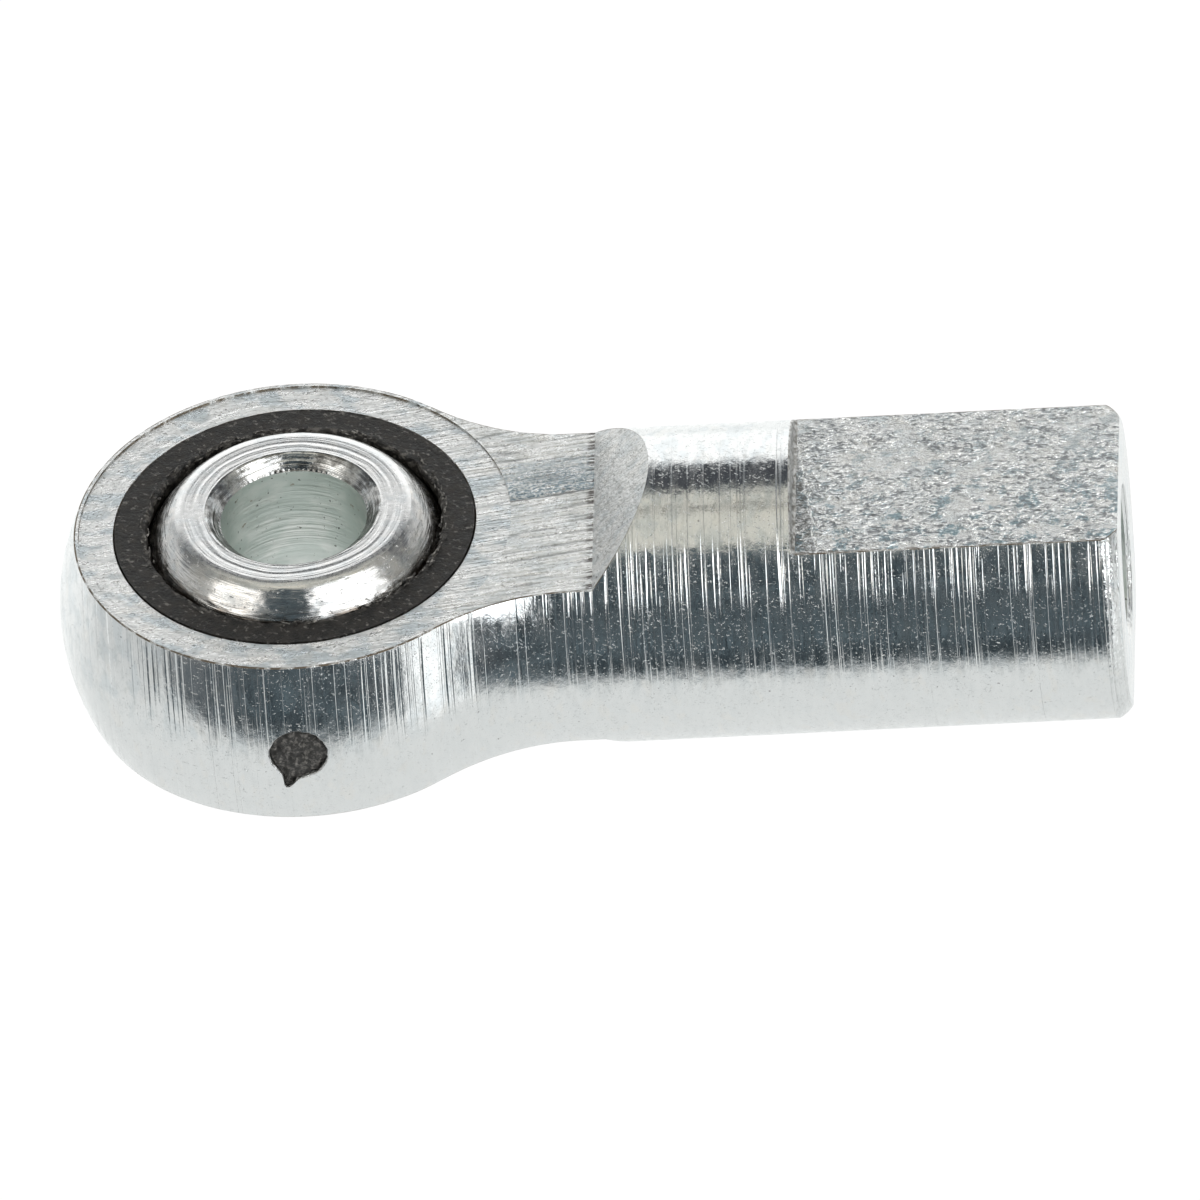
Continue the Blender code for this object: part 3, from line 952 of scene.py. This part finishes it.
def make_sprue(material):
    """Plastic in the gate, its outer end torn off and left rough."""
    rows, sides = 18, 96
    inner_end = -6.2 * MM
    verts = []
    for i in range(rows + 1):
        for k in range(sides):
            x, _, z = gate_point(2 * pi * k / sides, i / rows, 0, -0.02 * MM)
            tear = rough(x, z, 4 * MM, 0.34 * MM) + 0.7 * rough(x, z, 9 * MM, 0.14 * MM)
            depth = 0.13 * MM - 0.12 * MM * tear + 0.05 * MM * (i / rows) ** 6
            verts.append((x, -(sqrt(HEAD_R**2 - x * x - z * z) - depth), z))
    verts += [(x, inner_end, z) for x, _, z in verts[-sides:]]
    faces = grid_faces(rows + 2, sides)
    faces.append(tuple(range((rows + 1) * sides, (rows + 2) * sides)))
    return make_object("gate_sprue", verts, faces, None, [material], radians(60))


# ---- ball
BAND, FACE, SINK, BORE = range(4)


def make_ball():
    """The inner ring: a spherical band, turned end faces, countersunk chamfers and the bore."""
    tilt = asin(BALL_HALF / BALL_R)
    edge = 0.26 * MM
    spans = []  # (z, radius, finish of the span that follows)
    steps = 36
    for i in range(steps + 1):
        a = (tilt - edge / BALL_R) * i / steps
        spans.append((BALL_R * sin(a), BALL_R * cos(a), BAND))
    first, last = LAND_R - edge, BORE_R + BORE_CHAMFER + 0.05 * MM
    band_z, band_r, _ = spans[-1]
    steps = 7
    for i in range(1, steps):
        s = i / steps
        z = (1 - s) ** 2 * band_z + (1 - (1 - s) ** 2) * BALL_HALF
        r = (1 - s) ** 2 * band_r + 2 * s * (1 - s) * LAND_R + s * s * first
        spans.append((z, r, BAND if s < 0.5 else FACE))
    inner = BORE_R + BORE_CHAMFER
    steps = 56
    for i in range(steps + 1):
        r = first + (last - first) * i / steps
        rings = noise.noise(Vector((r / (0.16 * MM), 1.5, 0)))
        rings += 0.5 * noise.noise(Vector((r / (0.07 * MM), 4.5, 0)))
        fade = min(1, i / 4, (steps - i) / 4)
        spans.append((BALL_HALF - 0.009 * MM * fade * (0.5 + rings), r, FACE))
    steps = 20
    for i in range(1, steps + 1):
        share = i / steps
        wave = 0.016 * MM * noise.noise(Vector((share * 6, 8.5, 0))) * min(1, (steps - i) / 3)
        spans.append((BALL_HALF - BORE_CHAMFER * share + wave, inner - BORE_CHAMFER * share, SINK))
    steps = 24
    top = BALL_HALF - BORE_CHAMFER
    for i in range(1, steps):
        spans.append((top * (1 - i / steps), BORE_R, BORE))
    # the lower half mirrors the upper, from its equator round to the middle of the bore
    upper = [(z, r) for z, r, _ in spans]
    lower = [(-z, r) for z, r in reversed(upper[1:])]
    profile = upper + [(0, BORE_R)] + lower
    finishes = [f for _, _, f in spans[1:]] + [BORE]
    kinds = finishes + list(reversed(finishes))
    materials = [polished_zinc(), faced_ball_zinc(), countersunk_zinc(), bored_zinc()]
    return revolve("ball_inner_ring", profile, "Z", 256, kinds, materials, closed=True)


# ---- geometry nodes
def node_group(name, floats, whole):
    """Open a geometry node tree with named inputs and a finish; returns it and its inputs."""
    tree = Current.tree = bpy.data.node_groups.new(name, "GeometryNodeTree")
    for kind, labels in (("Float", floats), ("Int", whole), ("Material", ["Finish"])):
        for label in labels:
            tree.interface.new_socket(label, in_out="INPUT", socket_type="NodeSocket" + kind)
    tree.interface.new_socket("Geometry", in_out="OUTPUT", socket_type="NodeSocketGeometry")
    return tree, tree.nodes.new("NodeGroupInput").outputs


def finish_group(geometry, finish):
    """Close the tree with Realize Instances and Set Material."""
    plain = out("GeometryNodeRealizeInstances", {"Geometry": geometry})
    coated = out("GeometryNodeSetMaterial", {"Geometry": plain, "Material": finish})
    add("NodeGroupOutput", {0: coated})


def grown(name, tree, **values):
    """A plain mesh object made by a node tree from the given values."""
    seed = name + "_seed"
    obj = place(seed, bpy.data.meshes.new(seed))
    modifier = obj.modifiers.new(tree.name, "NODES")
    modifier.node_group = tree
    for item in tree.interface.items_tree:
        key = item.name.lower().replace(" ", "_")
        if item.in_out == "INPUT":
            modifier[item.identifier] = values[key]
    piece = baked(obj, name)
    piece.data.materials.clear()
    piece.data.materials.append(values["finish"])
    piece.data.polygons.foreach_set("material_index", [0] * len(piece.data.polygons))
    return piece


def thread_tree():
    """A ridge of the thread's form wound along a helix about X, tapering out at both ends."""
    floats = ["Pitch", "Turns", "Wall radius", "Ridge height", "Crest", "Start"]
    tree, given = node_group("internal thread", floats, ["Steps per turn"])
    root = total((given["Ridge height"], 1.155), (given["Crest"], 1.0))  # 60 degree flanks
    values = {"Height": given["Ridge height"], "Bottom Width": root, "Top Width": given["Crest"]}
    values["Offset"] = 0.0
    form = out("GeometryNodeCurvePrimitiveQuadrilateral", values, mode="TRAPEZOID")
    rise = out("ShaderNodeCombineXYZ", {1: times(given["Ridge height"], 0.5)})
    form = out("GeometryNodeTransform", {"Geometry": form, "Translation": rise})
    form = out("GeometryNodeTransform", {"Geometry": form, "Rotation": (0, 0, pi / 2)})
    values = {
        "Resolution": given["Steps per turn"],
        "Rotations": given["Turns"],
        "Start Radius": given["Wall radius"],
        "End Radius": given["Wall radius"],
        "Height": times(given["Turns"], given["Pitch"]),
        "Reverse": True,
    }
    helix = out("GeometryNodeCurveSpiral", values)
    helix = out("GeometryNodeSetCurveNormal", {"Curve": helix}, mode="Z_UP")
    along = add("GeometryNodeSplineParameter").outputs["Factor"]
    nearest = calc("MINIMUM", along, calc("SUBTRACT", 1.0, along))
    lead = calc("MULTIPLY", nearest, times(given["Turns"], 2.0))
    taper = calc("MAXIMUM", calc("MINIMUM", lead, 1.0), 0.06)
    values = {"Curve": helix, "Profile Curve": form, "Scale": taper, "Fill Caps": True}
    ridge = out("GeometryNodeCurveToMesh", values)
    start = out("ShaderNodeCombineXYZ", {0: given["Start"]})
    values = {"Geometry": ridge, "Translation": start, "Rotation": (0, pi / 2, 0)}
    ridge = out("GeometryNodeTransform", values)
    finish_group(ridge, given["Finish"])
    return tree


def make_thread(material):
    depth = THREAD_DEPTH - 0.1 * MM
    form = {"pitch": THREAD_PITCH, "ridge_height": 0.5413 * THREAD_PITCH, "crest": THREAD_PITCH / 4}
    helix = {"turns": depth / THREAD_PITCH, "wall_radius": THREAD_R + 0.01 * MM, "steps_per_turn": 64}
    start = SHANK_END - THREAD_DEPTH
    return grown("internal_thread", thread_tree(), finish=material, start=start, **form, **helix)


def flash_tree():
    """Slivers of flash scattered along a circle, each turned, stretched and shifted at random."""
    floats = ["Radius", "Height", "Spread", "Sliver", "Patches"]
    tree, given = node_group("moulding flash", floats, ["Count", "Seed"])

    def chance(low, high, offset):
        values = {0: low, 1: high, "Seed": calc("ADD", given["Seed"], float(offset))}
        return out("FunctionNodeRandomValue", values, data_type="FLOAT_VECTOR")

    circle = out("GeometryNodeCurvePrimitiveCircle", {"Radius": given["Radius"]})
    values = {"Curve": circle, "Count": given["Count"]}
    row = add("GeometryNodeCurveToPoints", values, mode="COUNT")
    shift = chance((-1, -1, -0.2), (1, 1, 0.2), 1)
    values = {0: shift, "Scale": given["Spread"]}
    shift = out("ShaderNodeVectorMath", values, operation="SCALE")
    up = out("ShaderNodeCombineXYZ", {2: given["Height"]})
    shift = out("ShaderNodeVectorMath", {0: shift, 1: up}, operation="ADD")
    values = {"Geometry": row.outputs["Points"], "Offset": shift}
    points = out("GeometryNodeSetPosition", values)
    piece = out("GeometryNodeMeshIcoSphere", {"Radius": given["Sliver"], "Subdivisions": 2})
    twist = chance((-0.3, -0.3, -0.7), (0.3, 0.3, 0.7), 2)
    turn = out("FunctionNodeEulerToRotation", {0: twist})
    values = {"Rotation": row.outputs["Rotation"], "Rotate By": turn}
    turn = out("FunctionNodeRotateRotation", values, rotation_space="LOCAL")
    size = chance((0.2, 0.15, 0.4), (0.55, 0.5, 3.2), 3)
    where = out("GeometryNodeInputPosition")
    patches = noise_at(where, given["Patches"])
    chosen = out("FunctionNodeCompare", {0: patches, 1: 0.5}, operation="GREATER_THAN")
    values = {"Points": points, "Selection": chosen, "Instance": piece, "Rotation": turn, "Scale": size}
    slivers = out("GeometryNodeInstanceOnPoints", values)
    finish_group(slivers, given["Finish"])
    return tree


def make_flash(material):
    tree = flash_tree()
    shared = {"radius": RECESS_R + 0.05 * MM, "spread": 0.16 * MM, "sliver": 0.10 * MM}
    shared |= {"patches": 0.7 / MM, "count": 190, "finish": material}
    top = HEAD_FLAT + 0.012 * MM
    upper = grown("upper_moulding_flash", tree, height=top, seed=4, **shared)
    return [upper, grown("lower_moulding_flash", tree, height=-top, seed=9, **shared)]


# ---- stage
def make_world():
    """A plain studio: white behind, a pale panel overhead, a softbox each side, dark in front."""
    world = bpy.data.worlds.new("studio")
    bpy.context.scene.world = world
    world.use_nodes = True
    Current.tree = world.node_tree
    Current.tree.nodes.clear()
    coords = add("ShaderNodeTexCoord").outputs["Generated"]
    x, y, z = add("ShaderNodeSeparateXYZ", {0: coords}).outputs
    front = times(y, -1.0)
    # angle round the shank's axis: 0 in front, 90 overhead, 180 behind, negative below
    around = times(calc("ARCTAN2", z, front), 180 / pi)
    azimuth = times(calc("ARCTAN2", x, front), 180 / pi)
    elevation = times(calc("ARCSINE", z), 180 / pi)

    clutter = noise_at(coords, 7.0, 3.0)
    dark, grey = (0.045, 0.058, 0.066), (0.14, 0.18, 0.20)
    colour = blend(ramp(clutter, 0.46, 0.60), dark, grey)
    bands = [  # first angle, last angle, softness and colour
        (64, 110, 3, (0.78, 0.765, 0.685)),
        (94.3, 97.7, 0.8, (0.16, 0.155, 0.14)),
        (111, 137, 2, (0.075, 0.08, 0.09)),
    ]
    for low, high, soft, shade in bands:
        colour = blend(window(around, low, high, soft), colour, shade)
    colour = blend(ramp(around, 136, 140.5), colour, (1.40, 1.41, 1.40))
    # the room falls off towards both ends of the shank
    aside = ramp(calc("ABSOLUTE", x), 0.30, 0.72, 0, 0.6)
    colour = blend(aside, colour, (0.16, 0.17, 0.18))
    colour = blend(ramp(around, -27, -41), colour, (0.90, 0.92, 0.91))
    colour = blend(ramp(around, -120, -150), colour, (1.15, 1.17, 1.16))
    low_left = times(ramp(x, -0.80, -0.97), ramp(elevation, 22, 8))
    colour = blend(times(low_left, 0.9), colour, (0.76, 0.775, 0.77))
    boxes = [  # azimuths and elevations, each with its softness, and colour
        ((48, 71, 7), (-34, 20, 6), (1.45, 1.48, 1.48)),
        ((20, 70, 4), (19, 54, 4), (3.4, 3.43, 3.45)),
        ((-74, -34, 4), (19, 42, 4), (2.0, 1.95, 1.86)),
    ]
    for wide, high, shade in boxes:
        colour = blend(times(window(azimuth, *wide), window(elevation, *high)), colour, shade)
    light = add("ShaderNodeBackground", {"Color": colour, "Strength": 1.0})
    plain = add("ShaderNodeBackground", {"Color": (1, 1, 1), "Strength": 1.0})
    seen = add("ShaderNodeLightPath").outputs["Is Camera Ray"]
    both = add("ShaderNodeMixShader", {0: seen, 1: light.outputs[0], 2: plain.outputs[0]})
    add("ShaderNodeOutputWorld", {"Surface": both.outputs[0]})


def make_floor():
    """A plain pale floor just under the shank."""
    size, drop = 5.0, -SHANK_R - 0.02 * MM
    corners = [(-size, -size, drop), (size, -size, drop), (size, size, drop), (-size, size, drop)]
    mesh = bpy.data.meshes.new("floor")
    mesh.from_pydata(corners, [], [(0, 1, 2, 3)])
    floor = place("floor", mesh)
    mat = bpy.data.materials.new("pale floor")
    mat.use_nodes = True
    Current.tree = mat.node_tree
    Current.tree.nodes.clear()
    glow = out("ShaderNodeEmission", {"Color": (1, 1, 1), "Strength": 1.06})
    paper = out("ShaderNodeBsdfDiffuse", {"Color": (0.9, 0.9, 0.9)})
    both = out("ShaderNodeMixShader", {0: 0.06, 1: glow, 2: paper})
    add("ShaderNodeOutputMaterial", {"Surface": both})
    mesh.materials.append(mat)
    floor.visible_glossy = False


def make_camera():
    """Looks down on the head's near side, 4.3 degrees round and 39.85 up, rolled 5.5 degrees."""
    turn, rise, roll = radians(4.30), radians(39.85), radians(-5.5)
    back = Vector((sin(turn) * cos(rise), -cos(turn) * cos(rise), sin(rise)))
    level = Vector((cos(turn), sin(turn), 0))
    right = level * cos(roll) + back.cross(level) * sin(roll)
    up = back.cross(right)
    centre = right * 9.81 * MM + up * 0.007 * MM
    data = bpy.data.cameras.new("camera")
    data.type = "ORTHO"
    data.ortho_scale = 39.45 * MM
    data.clip_start, data.clip_end = 0.001, 10
    camera = place("camera", data)
    turned = Matrix((right, up, back)).transposed().to_4x4()
    camera.matrix_world = Matrix.Translation(centre + back * 0.25) @ turned
    bpy.context.scene.camera = camera


# ---- build
body, zinc = make_body()
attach(body, "rod_end")
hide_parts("body")
thread = make_thread(zinc[BORED])
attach(thread, "rod_end")

race = make_race(moulded_plastic())
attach(race, "rod_end")
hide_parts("race")
gate_plastic = torn_plastic("torn gate plastic", (0.028, 0.027, 0.025), (0.19, 0.18, 0.165))
flash_plastic = torn_plastic("flash plastic", (0.035, 0.032, 0.029), (0.42, 0.40, 0.37))
torn_ends = [make_sprue(gate_plastic)] + make_flash(flash_plastic)
for piece in torn_ends:
    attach(piece, "rod_end")

ball = make_ball()
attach(ball, "ball")
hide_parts("ball")

make_world()
make_floor()
make_camera()
bpy.context.scene.view_settings.view_transform = "Standard"
